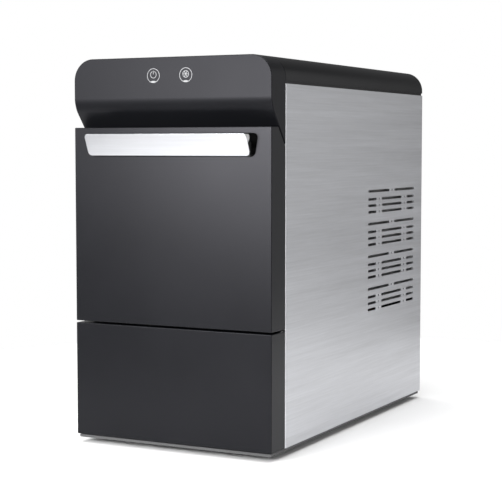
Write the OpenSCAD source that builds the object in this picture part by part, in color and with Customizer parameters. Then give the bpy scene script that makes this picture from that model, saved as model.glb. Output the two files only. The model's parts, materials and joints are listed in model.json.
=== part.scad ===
// Countertop nugget ice maker: a steel-sided housing with a pull-out ice drawer above a pull-out
// water tank, and the freezing auger, its gear drive and the cooling circuit behind a bulkhead.
// Lengths are millimetres. X runs across, Y from the door face (front) to the rear, Z up.
// Inside the modules "depth" is measured from the door face; place() moves it to the part's frame.

/* [Body] */
// Width over the steel side panels
body_w = 248; // [244:1:300]
// Depth from the door face to the rear edge
body_d = 452; // [444:1:545]
// Height from the floor to the top of the crown
body_h = 434; // [434:1:530]
// Thickness of the front blocks that stand ahead of the side panels
front_d = 34; // [34:1:42]
// Radius of the crown's two long top edges
crown_r = 24; // [16:1:27]
// Height of the rubber feet
foot_h = 6; // [4:1:14]
// Radius of the rubber feet
foot_r = 12.5; // [8:0.5:16]

/* [Sheet and walls] */
// Thickness of the steel sheet
sheet_t = 1.2; // [0.8:0.1:1.6]
// Wall of the moulded front blocks and the cover
wall = 3; // [2:0.1:3.6]
// Wall of the drawer bin, the tank and the bay liner
tub_wall = 2.5; // [1.5:0.1:3]
// Thickness of the insulation around the ice bay
foam_t = 11; // [8:0.5:13]

/* [Nose] */
// Distance from the crown's top to where the nose starts to slope back
nose_drop = 52.7; // [46:0.1:56]
// Fall of the nose's underside for each millimetre of depth
nose_fall = 1.225; // [1.1:0.005:1.3]
// Radius where the face turns into the sloping underside
nose_r = 25; // [10:1:30]
// Gap between the nose and the door's sloping shoulder
nose_gap = 2; // [1.2:0.1:3]

/* [Ice drawer] */
// Height of the door's top edge below the crown's top
door_drop = 76; // [74:0.5:79]
// Height of the seam between the ice door and the tank front
seam_z = 139; // [128:1:142]
// Width of that seam
seam_gap = 2.2; // [1.5:0.1:3]
// Depth of the ice bin behind the door
bin_d = 177; // [140:1:182]
// Height of the ice bin
bin_h = 128; // [100:1:131]

/* [Handle] */
// Width of the steel handle plate
handle_w = 202; // [160:1:210]
// How far the plate's top edge stands ahead of the door
handle_proud = 16; // [14:0.5:20]
// How far the plate's bottom edge stands ahead of the door
handle_foot = 6; // [5:0.5:9]
// Height of the finger opening behind the plate
cup_h = 24.4; // [20:0.2:26]
// Width of the finger opening at its top
cup_w = 214.8; // [212:0.2:222]
// Narrowing of the opening on each side, from top to bottom
cup_taper = 4; // [1:0.5:8]
// Thickness of the handle plate
plate_t = 1.6; // [1.2:0.1:2.2]

/* [Water tank] */
// Depth of the tank behind its front
tank_d = 192; // [150:1:194]
// Height of the tank
tank_h = 112; // [80:1:113]

/* [Vents] */
// Height of the top row of slots above the panel's bottom edge
vent_top = 272.5; // [240:0.5:290]
// Distance from the rear edge to the slots' centre
vent_rear = 108; // [104:1:130]
// Groups of slots in each side panel
vent_groups = 4; // [1:1:5]
// Height of a slot
slot_h = 3.1; // [1.6:0.1:3.4]
// Half the width of a group of slots
vent_half = 78; // [70:1:84]

/* [Freezing column] */
// Radius of the freezing cylinder's bore
bore_r = 19; // [17:0.5:20]
// Radial play of the auger in that bore
auger_play = 0.4; // [0.3:0.1:0.8]
// Radius of the auger's drive shaft
shaft_r = 7; // [5:0.5:8]
// Radial play of a shaft in its bush
run_play = 0.05; // [0.03:0.01:0.1]
// Tooth size of the gears
gear_mod = 1.25; // [1:0.05:1.25]
// Teeth of the gear on the auger shaft
out_teeth = 48; // [40:1:48]
// Teeth of the idler's small gear
idler_small = 16; // [14:1:18]
// Teeth of the idler's large gear
idler_large = 40; // [30:1:42]
// Teeth of the motor pinion
pinion_teeth = 14; // [12:1:16]

/* [Hidden] */
$fn = 64;
eps = 0.01;

// Outside
half_w = body_w / 2;
skin_gap = 0.4;
front_half = half_w - skin_gap;
inner_half = half_w - sheet_t;
pan_drop = 4;
pan_t = 3;
pan_z = foot_h;
panel_z = pan_z + pan_drop;
floor_z = pan_z + pan_t;
pan_inset = 2.4;
cover_h = 27;
cover_gap = 3;
cover_z = body_h - cover_h;
side_top = cover_z - cover_gap;
rear_inset = 12;
rear_plate_d = body_d - rear_inset - sheet_t;
fit_gap = 0.2;
slide_gap = 0.3;
flange_w = 10;
rear_flange_w = 8;
frame_d = front_d + sheet_t;
frame_t = 3;
bulk_d = 236;
bulk_t = 1.5;
front_back = front_d - sheet_t;      // rear plane of the door and the tank front
total_d = body_d + handle_proud;
face_y = handle_proud - total_d / 2;

// Nose: its underside is the line z = nose_z - nose_fall * depth
nose_z = body_h - nose_drop;
nose_len = sqrt(1 + nose_fall * nose_fall);
nose_turn = atan(1 / nose_fall);     // angle between the face and the underside

// Ice door
door_z = seam_z + seam_gap / 2;
door_top = body_h - door_drop;
shoulder_z = nose_z - nose_gap * nose_len;   // the shoulder runs parallel to the nose

// Ice bay, from the inside out
bay_half = inner_half - foam_t - tub_wall - 6.3;
shelf_t = 3;
shelf_z = seam_z;
bay_z = shelf_z + shelf_t + foam_t + tub_wall;
liner_top = shoulder_z - wall * nose_len - nose_fall * front_back - fit_gap;
gasket_grow = 8;
gasket_margin = 1;
bay_top = liner_top - gasket_grow - gasket_margin;
bay_back = bulk_d - 4 - foam_t - tub_wall;
frame_lip = frame_d + frame_t;

// Drawer bin and its slides
slide_room = 9;
bin_half = bay_half - slide_room;
bin_z = bay_z + 5;
slide_z = bin_z + 79;
slide_h = 20;
slide_t = 1.2;
bin_drain_r = 6;
bin_drain_d = front_back + bin_d - 22;

// Water tank
tank_half = inner_half - 17;
tank_z = floor_z + 4;
rail_w = 4;
rail_x = tank_half - 14;
outlet_x = 40;
outlet_z = tank_z + 13;
outlet_r = 6;
float_x = -60;
float_z = tank_z + 52;
float_d = front_back + tank_d - tub_wall - 12;
float_arm_l = 42;
float_hang = 40;

// Handle
cup_z = door_top - 7.2 - cup_h;
cup_wall = 2;
plate_foot_z = cup_z + 0.6;
plate_top_z = cup_z + cup_h - 0.4;
plate_lean = (handle_proud - handle_foot) / (plate_top_z - plate_foot_z);
ear_d = 0.6;
ear_low = plate_top_z - 10;

// Freezing column
col_x = -62;
col_d = 296;
cyl_wall = 3;
cover_top = floor_z + 41;
gear_floor = floor_z + 3;
col_z = cover_top + 16;
head_h = 18;
chute_rise = 1.5;
head_top = bin_z + bin_h + chute_rise;
col_top = head_top - head_h;
col_h = col_top - col_z;
core_r = bore_r - 9.5;
coil_r = 3;
coil_turns = 13;
coil_gap = fit_gap;
foam_r = bore_r + cyl_wall + 2 * coil_r + 10;
thrust_r = 30;

// Ice chute
chute_half = 30;
chute_wall = 2.5;
chute_h = bay_top - head_top - 4;
chute_front = bay_back - 20;
chamber_r = 32;

// Gear train, in a line behind the column
idler_d = col_d + gear_mod * (out_teeth + idler_small) / 2;
motor_d = idler_d + gear_mod * (idler_large + pinion_teeth) / 2;
gear_low_z = gear_floor + 6;
gear_low_t = 10;
gear_high_z = gear_low_z + gear_low_t + 3;
gear_high_t = 8;
box_half = 40;
box_front = col_d - 38;
box_back = motor_d + 26;
box_wall = 3;
pin_r = 4;
motor_gap = 5.75;
motor_r = motor_d - col_d - foam_r - motor_gap;
motor_h = 70;
tooth_play = 0.16;

// Compressor
comp_x = half_w - 74;
comp_d = body_d - 103;
comp_r = 48;
comp_z = floor_z + 15;
comp_h = 96;

// Condenser and fan, behind the right-hand slots
vent_d = body_d - vent_rear;
vent_z = panel_z + vent_top;
group_step = 40;
row_drops = [0, 9.9, 17.7, 25.5];
cond_half = vent_half;
cond_z = vent_z - 3 * group_step - 22;
cond_h = 3 * group_step + 28;
cond_back = inner_half - 6;
cond_t = 32;
fin_count = 28;
fin_t = 0.8;
tube_r = 3.5;
tube_step = 18;
tube_runs = 8;
shroud_t = 2.5;
shroud_x = cond_back - cond_t - shroud_t;
fan_r = 60;
fan_z = cond_z + cond_h / 2;
fan_gap = 10;
fan_t = 20;
fan_x = shroud_x - fan_gap - fan_t;
hub_r = 20;
fan_shaft_r = 3;
blade_count = 5;
blade_t = 2;
blade_pitch = 32;
fan_plate_x = fan_x - 8;
fan_motor_h = 22;
fan_arm_r = fan_r + 8;

// Keys on the control face
key_z = body_h - 20;
key_x = 20.3;
key_r = 7.9;
mark_t = 0.15;
print_line = 0.6;
lens_h = 2.2;
symbol_r = 3.9;
symbol_lift = 1;

// Rear fittings
gland_x = half_w - 42;
gland_z = panel_z + 30;
gland_r = 8;
cord_r = 3.9;
drain_x = -half_w + 34;
drain_z = panel_z + 22;
drain_r = 5;
rear_screw_r = 1.6;
rear_vent_z = panel_z + 216;
rear_slot_w = 44;
rear_slot_h = 3.4;
rear_slot_pitch = 54;

module place() translate([0, face_y, 0]) children();

// A box between two corners, given along X, depth and Z.
module block(x0, x1, d0, d1, z0, z1) translate([x0, d0, z0]) cube([x1 - x0, d1 - d0, z1 - z0]);

// The same box on both sides of the middle plane.
module pair(x0, x1, d0, d1, z0, z1) {
    block(x0, x1, d0, d1, z0, z1);
    block(-x1, -x0, d0, d1, z0, z1);
}

// Extrudes an outline drawn as (depth, z) across X.
module across(x0, x1) translate([x0, 0, 0]) rotate([90, 0, 90]) linear_extrude(x1 - x0) children();

// Extrudes an outline drawn as (x, z) along the depth.
module along(d0, d1) translate([0, d1, 0]) rotate([90, 0, 0]) linear_extrude(d1 - d0) children();

// A round bar along X or along the depth.
module bar_x(r, x0, x1) translate([x0, 0, 0]) rotate([0, 90, 0]) cylinder(r = r, h = x1 - x0);
module bar_d(r, d0, d1) translate([0, d0, 0]) rotate([-90, 0, 0]) cylinder(r = r, h = d1 - d0);

// A rounded rectangle from its low corner, with true arcs.
module round_rect(w, h, r) {
    translate([r, 0]) square([w - 2 * r, h]);
    translate([0, r]) square([w, h - 2 * r]);
    for (x = [r, w - r], y = [r, h - r]) translate([x, y]) circle(r);
}

// A pipe through a list of points, with round corners.
module pipe(points, r) {
    for (i = [0 : len(points) - 2]) {
        step = points[i + 1] - points[i];
        length = norm(step);
        translate(points[i])
            rotate([0, acos(step.z / length), atan2(step.y, step.x)]) cylinder(r = r, h = length);
    }
    for (i = [1 : len(points) - 2]) translate(points[i]) sphere(r);
}

// Involute gear outline: functions for one tooth, then all of them.
function involute(base, a) = [base * (cos(a) + a * PI / 180 * sin(a)), base * (sin(a) - a * PI / 180 * cos(a))];
function turned(p, a) = [p.x * cos(a) - p.y * sin(a), p.x * sin(a) + p.y * cos(a)];
function roll(base, r) = r <= base ? 0 : sqrt(pow(r / base, 2) - 1) * 180 / PI;
function gear_points(teeth, mod) = let (
    pitch = mod * teeth / 2, base = pitch * cos(20), tip = pitch + 0.9 * mod, root = pitch - 1.2 * mod,
    at_pitch = roll(base, pitch), lean = atan2(involute(base, at_pitch).y, involute(base, at_pitch).x),
    half = 90 / teeth - tooth_play / pitch * 180 / PI / 2 + lean, steps = 4, low = max(root, base)
) [for (t = [0 : teeth - 1]) let (turn = 360 * t / teeth) each concat(
    [turned([root, 0], turn - half * 1.02)],
    [for (i = [0 : steps]) turned(involute(base, roll(base, low + (tip - low) * i / steps)), turn - half)],
    [for (i = [steps : -1 : 0]) let (p = involute(base, roll(base, low + (tip - low) * i / steps)))
        turned([p.x, -p.y], turn + half)],
    [turned([root, 0], turn + half * 1.02)])];
module gear(teeth, mod, t, turn = 0) rotate(turn) linear_extrude(t) polygon(gear_points(teeth, mod));

// Base

module base_pan() color("dimgray") {
    wall_h = 25;
    difference() {
        union() {
            block(-half_w + pan_inset, half_w - pan_inset, pan_inset, body_d - pan_inset, pan_z, floor_z);
            pair(inner_half - wall, inner_half, frame_lip, rear_plate_d, floor_z - 1, floor_z + wall_h);
            block(-inner_half, inner_half, rear_plate_d - wall, rear_plate_d, floor_z - 1, floor_z + wall_h);
        }
        translate([drain_x, 0, drain_z]) bar_d(drain_r + 4, rear_plate_d - wall - 1, rear_plate_d + 1);
        translate([gland_x, 0, gland_z]) bar_d(gland_r + 4, rear_plate_d - wall - 1, rear_plate_d + 1);
    }
    pair(rail_x, rail_x + rail_w, frame_lip, bulk_d - 4, floor_z - 1, tank_z - slide_gap);
}

module rubber_feet() color("black")
    for (x = [-1, 1] * (half_w - 30), d = [48, body_d - 40])
        translate([x, d, 0]) cylinder(r1 = foot_r - 1.5, r2 = foot_r, h = foot_h);

// Side panels

module slot(d0, d1, z) across(-1, sheet_t + 1) translate([d0, z - slot_h / 2])
    round_rect(d1 - d0, slot_h, slot_h / 2 - eps);

module dot(d, z) translate([0, d, z]) bar_x(slot_h / 2, -1, sheet_t + 1);

// One group: a row of two long slots, then three rows with a long slot between two short ones.
module vent_group() {
    long_gap = 8.5;
    short_gap = 52;
    middle = 34;
    for (side = [-1, 1]) {
        slot(min(side * long_gap, side * vent_half), max(side * long_gap, side * vent_half), 0);
        for (row = [1 : 3]) {
            slot(min(side * short_gap, side * vent_half), max(side * short_gap, side * vent_half), -row_drops[row]);
            dot(side * (short_gap + middle) / 2, -row_drops[row]);
        }
    }
    dot(0, 0);
    for (row = [1 : 3]) slot(-middle, middle, -row_drops[row]);
}

module right_side_panel() color("silver") difference() {
    union() {
        block(inner_half, half_w, front_d, body_d, panel_z, side_top);
        block(half_w - flange_w, half_w, front_d, front_d + sheet_t, panel_z, side_top);
        block(half_w - rear_flange_w, half_w, body_d - sheet_t, body_d, panel_z, side_top);
    }
    for (g = [0 : vent_groups - 1])
        translate([inner_half, vent_d, vent_z - g * group_step]) vent_group();
}

module left_side_panel() mirror([1, 0, 0]) right_side_panel();

// Crown: the outline that the cover and the control head share

module crown(inset, z0) {
    half = front_half - inset;
    r = crown_r - inset;
    top = body_h - inset;
    intersection() {
        translate([-half, z0]) square([2 * half, top - z0]);
        union() {
            translate([-half, z0 - r]) square([2 * half, top - z0]);
            translate([-half + r, z0]) square([2 * (half - r), top - z0]);
            for (side = [-1, 1]) translate([side * (half - r), top - r]) circle(r);
        }
    }
}

module top_cover() color("#26262a") {
    skirt_z = side_top - 8;
    difference() {
        along(front_d, body_d) crown(0, cover_z);
        along(front_d - 1, body_d - wall) crown(wall, cover_z - 1);
    }
    pair(inner_half - wall, inner_half, front_d + flange_w, rear_plate_d - 1, skirt_z, cover_z + eps);
    block(-inner_half, inner_half, body_d - wall, body_d, side_top + 0.5, cover_z + eps);
    pair(inner_half - wall, inner_half, rear_plate_d - 1 - eps, body_d - wall + eps, side_top + 0.5, cover_z + eps);
}

module rear_panel() color("#303034") difference() {
    union() {
        half = inner_half - fit_gap;
        z0 = panel_z + fit_gap;
        z1 = side_top + fit_gap;
        block(-half, half, rear_plate_d, rear_plate_d + sheet_t, z0, z1);
        rim = body_d - sheet_t - fit_gap;
        pair(half - sheet_t, half, rear_plate_d, rim, z0, z1);
        block(-half, half, rear_plate_d, rim, z1 - sheet_t, z1);
        block(-half, half, rear_plate_d, rim, z0, z0 + sheet_t);
    }
    translate([gland_x, 0, gland_z]) bar_d(gland_r, rear_plate_d - 1, rear_plate_d + sheet_t + 1);
    translate([drain_x, 0, drain_z]) bar_d(drain_r + 2, rear_plate_d - 1, rear_plate_d + sheet_t + 1);
    for (row = [0 : 9], column = [-1, 0, 1])
        along(rear_plate_d - 1, rear_plate_d + sheet_t + 1)
            translate([column * rear_slot_pitch - rear_slot_w / 2, rear_vent_z + row * 9])
                round_rect(rear_slot_w, rear_slot_h, rear_slot_h / 2 - eps);
    rear_screws(rear_screw_r + 0.1, 1);
}

function rear_screw_x() = inner_half - 14;
function rear_screw_zs() = [panel_z + 60, (panel_z + side_top) / 2, side_top - 14];

module rear_screws(r, reach) for (side = [-1, 1], z = rear_screw_zs())
    translate([side * rear_screw_x(), 0, z]) bar_d(r, rear_plate_d - reach, rear_plate_d + sheet_t + reach);

module rear_panel_screws() color("gray") {
    for (side = [-1, 1], z = rear_screw_zs()) translate([side * rear_screw_x(), 0, z]) {
        bar_d(rear_screw_r, rear_plate_d - 8, rear_plate_d + sheet_t);
        bar_d(3.4, rear_plate_d + sheet_t, rear_plate_d + sheet_t + 2);
    }
}

// Control head: the nose above the doors

// The head's side outline, drawn inset from its outer faces.
module nose_outline(inset) {
    z_at = nose_z + inset * nose_len;
    back = front_d;
    corner = z_at - nose_fall * inset;
    intersection() {
        polygon([[inset, corner], [inset, body_h - inset], [back, body_h - inset], [back, z_at - nose_fall * back]]);
        union() {
            r = nose_r - inset;
            reach = r * tan(nose_turn / 2);
            translate([inset + r, corner + reach]) circle(r);
            polygon([[inset, corner + reach], [inset, body_h], [back, body_h], [back, z_at - nose_fall * back],
                [inset + reach * sin(nose_turn), corner - reach * cos(nose_turn)]]);
        }
    }
}

module control_head() color("#2b2b30") {
    difference() {
        intersection() {
            across(-front_half, front_half) nose_outline(0);
            along(-1, front_d + 1) crown(0, nose_z - nose_fall * front_d - 5);
        }
        intersection() {
            across(-front_half + wall, front_half - wall) nose_outline(wall);
            along(wall - 1, front_d - wall) crown(wall, nose_z - nose_fall * front_d - 5);
        }
        // The cover's hollow opens into the head above the rear wall.
        along(front_d - wall - 1, front_d + 1) crown(wall, cover_z);
    }
    // Boss that seats the head on the front frame
    block(-half_w + flange_w + 1, half_w - flange_w - 1, front_d - eps, frame_d, side_top - 42, side_top - 6);
    for (x = [-62, 62], z = [key_z - 10, key_z + 8]) translate([x, 0, z]) bar_d(3, wall - eps, wall + 3);
}

// A thin ring with a lens at its foot, printed on the face around a symbol.
module ring(r, line) difference() {
    circle(r);
    circle(r - line);
}

module key_ring() {
    ring(key_r, print_line);
    intersection() {
        circle(key_r - print_line / 2);
        translate([0, lens_h - 2 * key_r]) circle(key_r);
    }
}

module power_key_mark() color("white") translate([-key_x, 0, key_z]) along(-mark_t, 0) {
    key_ring();
    translate([0, symbol_lift]) {
        difference() {
            ring(symbol_r, print_line);
            translate([-1.3, 0.8]) square([2.6, symbol_r]);
        }
        translate([-print_line / 2, 0.4]) square([print_line, symbol_r]);
    }
}

module clean_key_mark() color("white") translate([key_x, 0, key_z]) along(-mark_t, 0) {
    key_ring();
    translate([0, symbol_lift]) {
        ring(symbol_r, print_line);
        for (a = [0, 60, 120]) rotate(a)
            translate([-symbol_r + print_line / 2, -print_line / 2]) square([2 * symbol_r - print_line, print_line]);
    }
}

module control_board() color("darkgreen") {
    board_d = wall + 3;
    block(-70, 70, board_d, board_d + 1.6, key_z - 16, key_z + 13);
    for (x = [-50, 0, 45]) block(x - 6, x + 6, board_d + 1.6 - eps, board_d + 7, key_z - 8, key_z + 2);
    block(-30, -12, board_d + 1.6 - eps, board_d + 6, key_z - 9, key_z + 5);
}

module touch_pads() color("gray") for (x = [-key_x, key_x])
    translate([x, 0, key_z]) bar_d(5.5, wall, wall + 3);

// Front frame: the surround that both drawers close against

module front_frame() color("#222224") {
    half = inner_half - fit_gap;
    difference() {
        block(-half, half, frame_d, frame_lip, floor_z + fit_gap, side_top - 4);
        block(-bay_half, bay_half, frame_d - 1, frame_lip + 1, bay_z, bay_top);
        block(-tank_half - 6, tank_half + 6, frame_d - 1, frame_lip + 1, floor_z, shelf_z - 2);
    }
}

// Ice bay

module bay_hollow(grow, front, back) block(-bay_half - grow, bay_half + grow, front, back, bay_z - grow, bay_top + grow);

module chute_window(grow, d0, d1) block(col_x - chute_half - grow, col_x + chute_half + grow, d0, d1,
    head_top - grow, head_top + chute_h + grow);

module bay_liner() color("whitesmoke") difference() {
    bay_hollow(tub_wall, frame_lip, bay_back + tub_wall);
    bay_hollow(0, frame_lip - 1, bay_back);
    chute_window(fit_gap, bay_back - 1, bay_back + tub_wall + 1);
    translate([0, bin_drain_d, bay_z - tub_wall - 1]) cylinder(r = bin_drain_r + 2, h = tub_wall + 2);
}

module bay_foam() color("beige") difference() {
    bay_hollow(tub_wall + foam_t, frame_lip, bay_back + tub_wall + foam_t);
    bay_hollow(tub_wall, frame_lip - 1, bay_back + tub_wall);
    chute_window(fit_gap, bay_back, bulk_d);
    translate([0, bin_drain_d, shelf_z]) cylinder(r = bin_drain_r + 2, h = foam_t + shelf_t + 1);
}

module mid_shelf() color("lightgray") difference() {
    block(-inner_half + fit_gap, inner_half - fit_gap, frame_lip, bulk_d, shelf_z, shelf_z + shelf_t);
    translate([0, bin_drain_d, shelf_z - 1]) cylinder(r = bin_drain_r + 2, h = shelf_t + 2);
}

module bulkhead() color("silver") difference() {
    block(-inner_half + fit_gap + wall, inner_half - fit_gap - wall, bulk_d, bulk_d + bulk_t, floor_z, side_top - 10);
    chute_window(fit_gap, bulk_d - 1, bulk_d + bulk_t + 1);
    translate([outlet_x, 0, outlet_z]) bar_d(outlet_r + 0.5, bulk_d - 1, bulk_d + bulk_t + 1);
}

module bin_slides_fixed() color("gainsboro") for (side = [0, 1]) mirror([side, 0, 0]) difference() {
    block(bin_half + 1.6, bay_half, frame_lip + 4, bay_back - 6, slide_z - slide_h / 2, slide_z + slide_h / 2);
    block(bin_half + 1, bay_half - slide_t, frame_lip + 3, bay_back - 5, slide_z - slide_h / 2 + slide_t,
        slide_z + slide_h / 2 - slide_t);
}

module bin_slides_moving() color("gray") {
    reach = slide_h / 2 - slide_t - slide_gap;
    pair(bin_half, bay_half - slide_t - slide_gap, front_back + 12, front_back + bin_d - 4,
        slide_z - reach, slide_z + reach);
}

// Ice door

module door_outline(inset, back = front_back) {
    z_at = shoulder_z - inset * nose_len;
    top = door_top - inset;
    polygon([[inset, door_z + inset], [inset, top], [(z_at - top) / nose_fall, top],
        [back, z_at - nose_fall * back], [back, door_z + inset]]);
}

// The finger opening's outline as (x, z), grown by its wall.
module cup_outline(grow) {
    top = cup_w / 2 + grow;
    foot = top - cup_taper;
    polygon([[-foot, cup_z - grow], [foot, cup_z - grow], [top, cup_z + cup_h + grow], [-top, cup_z + cup_h + grow]]);
}

module ice_door_shell() color("#2e2e33") difference() {
    across(-front_half, front_half) door_outline(0);
    across(-front_half + wall, front_half - wall) door_outline(wall, front_back + 1);
    along(-1, wall + 1) cup_outline(cup_wall);
}

module ice_door_liner() color("whitesmoke")
    block(-front_half + wall + fit_gap, front_half - wall - fit_gap, front_back - wall, front_back,
        door_z + wall + fit_gap, liner_top);

module ice_door_foam() color("beige")
    block(-front_half + wall, front_half - wall, wall, front_back - wall, door_z + wall, cup_z - cup_wall - 1);

module door_gasket() color("black") {
    grow = gasket_grow;
    width = 5;
    z0 = bay_z - grow;
    z1 = bay_top + grow;
    difference() {
        block(-bay_half - grow, bay_half + grow, front_back, frame_d - fit_gap, z0, z1);
        block(-bay_half - grow + width, bay_half + grow - width, front_back - 1, frame_d, z0 + width, z1 - width);
    }
}

// The cup's side outline: its back wall stays inside the door's shoulder.
module cup_profile(inset) {
    inner_shoulder = shoulder_z - (wall + 1 + inset) * nose_len;
    top = cup_z + cup_h + cup_wall - inset;
    foot = cup_z - cup_wall + inset;
    back = front_back - wall - 1 - inset;
    polygon([[inset > 0 ? -1 : 0, foot], [inset > 0 ? -1 : 0, top], [(inner_shoulder - top) / nose_fall, top],
        [back, inner_shoulder - nose_fall * back], [back, foot]]);
}

module handle_cup() color("#101012") difference() {
    intersection() {
        across(-half_w, half_w) cup_profile(0);
        along(0, front_back) cup_outline(cup_wall);
    }
    intersection() {
        across(-half_w, half_w) cup_profile(cup_wall);
        along(-1, front_back) cup_outline(0);
    }
}

// Side outline of the leaning plate, from its foot to its top edge.
module plate_profile() polygon([[-handle_foot, plate_foot_z], [-handle_proud, plate_top_z],
    [-handle_proud + plate_t, plate_top_z], [-handle_foot + plate_t, plate_foot_z]]);

module handle_plate() color("silver") {
    across(-handle_w / 2, handle_w / 2) plate_profile();
    back_at_low = -handle_proud + plate_t + plate_lean * (plate_top_z - ear_low) - eps;
    for (side = [0, 1]) mirror([side, 0, 0]) across(handle_w / 2 - plate_t, handle_w / 2)
        polygon([[-handle_proud + plate_t - eps, plate_top_z], [-ear_d - 2, plate_top_z], [-ear_d, plate_top_z - 2],
            [-ear_d, plate_top_z - 5], [back_at_low, ear_low]]);
}

module handle_bracket() color("#18181a") {
    web = 2;
    inset = 0.05;
    back = front_back - wall - 1 - cup_wall - 2;
    foot_back = -handle_foot + plate_t + inset;
    across(-handle_w / 2, handle_w / 2)
        polygon([[foot_back, plate_foot_z], [0, plate_foot_z], [0, plate_foot_z + web], [foot_back, plate_foot_z + web]]);
    across(-handle_w / 2 + 2, handle_w / 2 - 2)
        polygon([[-eps, cup_z], [back, cup_z], [back, cup_z + web], [-eps, plate_foot_z + web]]);
    for (side = [0, 1]) mirror([side, 0, 0]) across(handle_w / 2 - 3, handle_w / 2)
        polygon([[foot_back, plate_foot_z + web - eps], [0, plate_foot_z + web - eps], [0, ear_low - 1],
            [foot_back - plate_lean * (ear_low - 1 - plate_foot_z - web), ear_low - 1]]);
}

// Ice bin

module tub(half, d0, d1, z0, z1) difference() {
    block(-half, half, d0, d1, z0, z1);
    block(-half + tub_wall, half - tub_wall, d0 + tub_wall, d1 - tub_wall, z0 + tub_wall, z1 + 1);
}

module ice_bin() color("lightcyan") difference() {
    tub(bin_half, front_back, front_back + bin_d, bin_z, bin_z + bin_h);
    translate([0, bin_drain_d, bin_z - 1]) cylinder(r = bin_drain_r, h = tub_wall + 2);
}

module drain_grid() color("white") {
    play = 1;
    half = bin_half - tub_wall - play;
    d0 = front_back + tub_wall + play;
    d1 = front_back + bin_d - tub_wall - play;
    z0 = bin_z + tub_wall + 6;
    difference() {
        block(-half, half, d0, d1, z0, z0 + 2.5);
        for (column = [-4 : 4], row = [0 : 7])
            translate([column * (half - 8) / 4.4, d0 + 12 + row * (d1 - d0 - 24) / 7, z0 - 1])
                cylinder(r = 4, h = 5);
    }
    for (x = [-half + 6, half - 6], d = [d0 + 4, d1 - 4])
        translate([x, d, bin_z + tub_wall]) cylinder(r = 3, h = 6 + eps);
}

// Water tank drawer

module tank_front() color("#232327") difference() {
    block(-front_half, front_half, 0, front_back, panel_z, seam_z - seam_gap / 2);
    block(-front_half + wall, front_half - wall, wall, front_back + 1, panel_z + wall, seam_z - seam_gap / 2 - wall);
}

module tank_front_liner() color("dimgray")
    block(-front_half + wall + fit_gap, front_half - wall - fit_gap, front_back - wall, front_back,
        panel_z + wall + fit_gap, seam_z - seam_gap / 2 - wall - fit_gap);

module water_tank() color("lightblue") {
    back = front_back + tank_d;
    difference() {
        union() {
            tub(tank_half, front_back, back, tank_z, tank_z + tank_h);
            translate([outlet_x, 0, outlet_z]) bar_d(outlet_r, back - eps, bulk_d + 2);
        }
        translate([outlet_x, 0, outlet_z]) bar_d(outlet_r - 2, back - tub_wall - 1, bulk_d + 3);
    }
    for (side = [-1, 1]) translate([float_x + side * 6, float_d, float_z]) {
        bar_x(5, -2, 2);
        block(-2, 2, 0, front_back + tank_d - tub_wall + eps - float_d, -5, 5);
    }
    translate([float_x, float_d, float_z]) bar_x(2, -6, 6);
}

module tank_seal() color("black") translate([outlet_x, 0, outlet_z]) difference() {
    bar_d(outlet_r + 1.9, front_back + tank_d + 1, bulk_d - fit_gap);
    bar_d(outlet_r, front_back + tank_d, bulk_d + 1);
}

// The arm hangs at its lower stop, as in an empty tank.
module float_arm() color("orange") translate([float_x, float_d, float_z]) rotate([float_hang, 0, 0]) difference() {
    union() {
        bar_x(4, -3.4, 3.4);
        block(-2.5, 2.5, -float_arm_l, 0, -2.5, 2.5);
        translate([0, -float_arm_l, 0]) bar_x(12, -12, 12);
    }
    bar_x(2 + run_play, -20, 20);
}

// Freezing column

module ice_chute() color("white") difference() {
    union() {
        block(col_x - chute_half, col_x + chute_half, chute_front, col_d, head_top, head_top + chute_h);
        translate([col_x, col_d, head_top]) cylinder(r = chamber_r, h = chute_h);
    }
    block(col_x - chute_half + chute_wall, col_x + chute_half - chute_wall, chute_front - 1, col_d,
        head_top + chute_wall, head_top + chute_h - chute_wall);
    translate([col_x, col_d, head_top + chute_wall]) cylinder(r = chamber_r - chute_wall, h = chute_h - 2 * chute_wall);
    translate([col_x, col_d, head_top - 1]) cylinder(r = bore_r, h = chute_wall + 2);
}

module extruder_head() color("silver") translate([col_x, col_d, col_top]) difference() {
    cylinder(r = bore_r + cyl_wall + 4, h = head_h);
    translate([0, 0, -1]) cylinder(r = shaft_r - 1 + run_play, h = head_h + 2);
    for (a = [0 : 60 : 300]) rotate(a) translate([(bore_r + shaft_r) / 2, 0, -1]) cylinder(r = 3.8, h = head_h + 2);
}

module freezing_cylinder() color("silver") translate([col_x, col_d, col_z]) difference() {
    cylinder(r = bore_r + cyl_wall, h = col_h);
    translate([0, 0, -1]) cylinder(r = bore_r, h = col_h + 2);
}

function coil_low() = col_z + 14;
function coil_step() = (col_h - 28) / (coil_turns - 1);
function coil_radius() = bore_r + cyl_wall + coil_gap + coil_r;

// Turns of tube around the cylinder, each a plain ring.
module evaporator_coil() color("peru") for (i = [0 : coil_turns - 1])
    translate([col_x, col_d, coil_low() + i * coil_step()])
        rotate_extrude() translate([coil_radius(), 0]) circle(coil_r);

module column_foam() color("beige") translate([col_x, col_d, col_z]) difference() {
    translate([0, 0, 4]) cylinder(r = foam_r, h = col_h - 8);
    cylinder(r = coil_radius() + coil_r + coil_gap, h = col_h);
}

module auger_flight() {
    outer = bore_r - auger_play;
    flight = 16;
    turns = 6;
    linear_extrude(col_h - 8, twist = -360 * turns, slices = 16 * turns, $fn = 16)
        polygon([for (a = [0 : 30 : 330]) let (r = a == 0 ? outer : core_r, b = a) each
            a == 0 ? [[outer * cos(-flight / 2), outer * sin(-flight / 2)], [outer, 0],
                [outer * cos(flight / 2), outer * sin(flight / 2)]] : [[r * cos(b), r * sin(b)]]]);
}

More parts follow.
